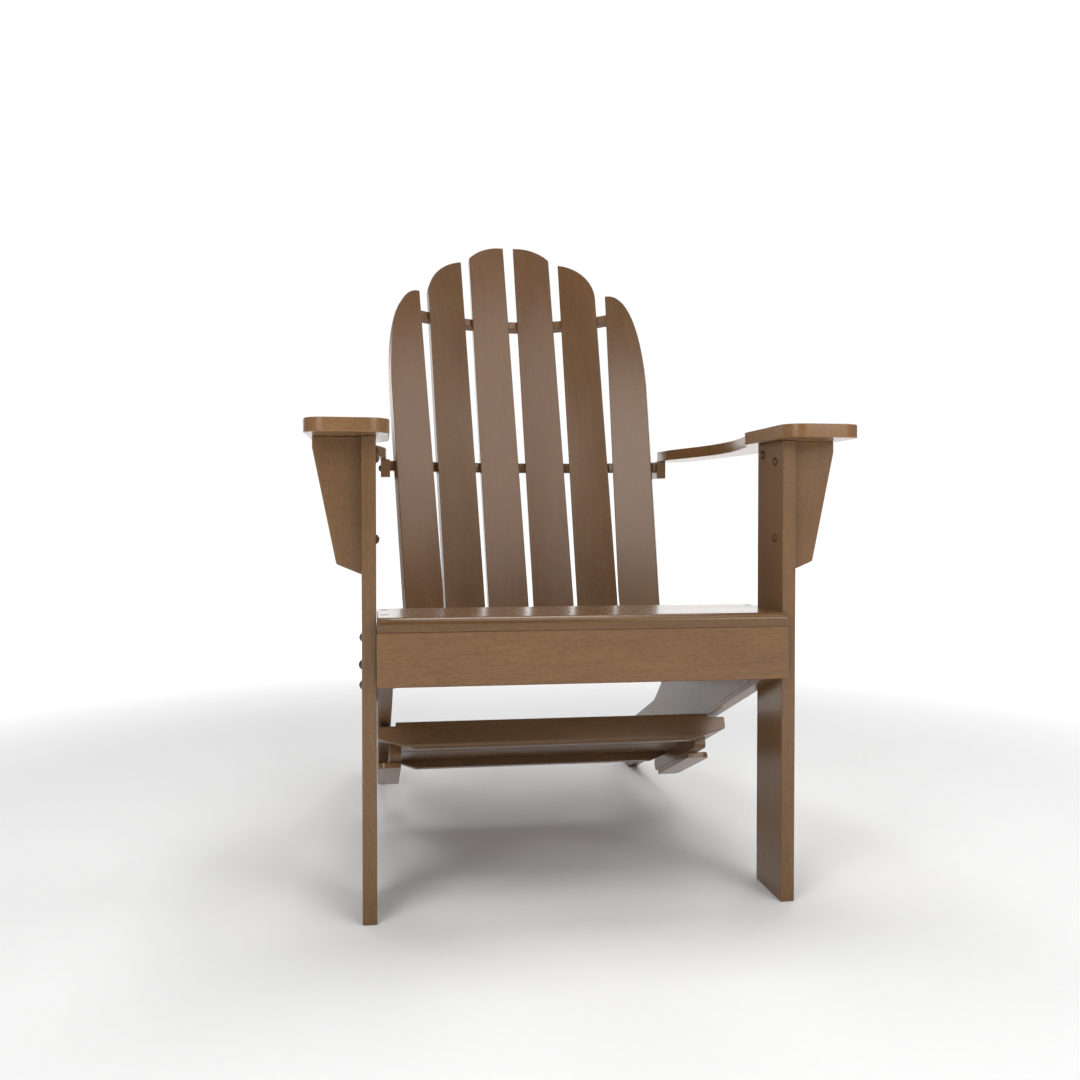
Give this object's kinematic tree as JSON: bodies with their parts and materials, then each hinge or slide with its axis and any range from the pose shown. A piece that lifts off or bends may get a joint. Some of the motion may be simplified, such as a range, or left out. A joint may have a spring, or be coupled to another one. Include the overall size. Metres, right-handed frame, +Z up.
{
  "type": "adirondack chair",
  "caption": "Adirondack chair with a fan-shaped slatted back, sloping seat, wide paddle arms and a slatted footrest that slides out from under the seat.",
  "frame": {"origin": "on the floor, in the middle of the whole chair's width and depth", "axes": "+Z up, the seat's front faces -Y, +X is the right-hand side seen from the front"},
  "size_m": [0.6796, 0.8546, 1.0192],
  "materials": {
    "frame_wood": "satin",
    "seat_wood": "satin",
    "slat_wood": "satin",
    "arm_wood": "satin",
    "footrest_wood": "satin",
    "beech_dowel": "matt",
    "bronze_bolt": "satin",
    "dark_screw": "satin"
  },
  "bodies": {
    "chair": {"left_front_leg": "frame_wood", "right_front_leg": "frame_wood", "left_stringer": "frame_wood", "right_stringer": "frame_wood", "front_apron": "frame_wood", "front_seat_board": "seat_wood", "seat_slat_1": "seat_wood", "seat_slat_2": "seat_wood", "seat_slat_3": "seat_wood", "rear_seat_board": "seat_wood", "lower_back_rail": "frame_wood", "middle_back_rail": "frame_wood", "upper_back_rail": "frame_wood", "back_slat_1": "slat_wood", "back_slat_2": "slat_wood", "back_slat_3": "slat_wood", "back_slat_4": "slat_wood", "back_slat_5": "slat_wood", "back_slat_6": "slat_wood", "left_arm": "arm_wood", "right_arm": "arm_wood", "left_arm_bracket": "frame_wood", "right_arm_bracket": "frame_wood", "left_arm_cleat": "frame_wood", "right_arm_cleat": "frame_wood", "left_arm_block": "frame_wood", "right_arm_block": "frame_wood", "left_guide_block": "footrest_wood", "right_guide_block": "footrest_wood", "left_guide_ledge": "footrest_wood", "right_guide_ledge": "footrest_wood", "leg_bolts": "bronze_bolt", "leg_nuts": "bronze_bolt", "arm_support_screws": "bronze_bolt", "arm_block_bolts": "dark_screw", "arm_screws": "dark_screw", "seat_screws": "dark_screw", "back_screws": "dark_screw", "guide_screws": "dark_screw", "apron_dowels": "beech_dowel"},
    "footrest": {"footrest_front_board": "footrest_wood", "footrest_board_1": "footrest_wood", "footrest_board_2": "footrest_wood", "footrest_left_runner": "footrest_wood", "footrest_right_runner": "footrest_wood", "footrest_rear_batten": "footrest_wood", "footrest_screws": "dark_screw", "footrest_dowels": "beech_dowel"}
  },
  "joints": [
    {"name": "footrest_slide", "type": "slide", "parent": "chair", "child": "footrest", "axis": [0, -0.9336, 0.3584], "range_m": [0, 0.15]}
  ]
}
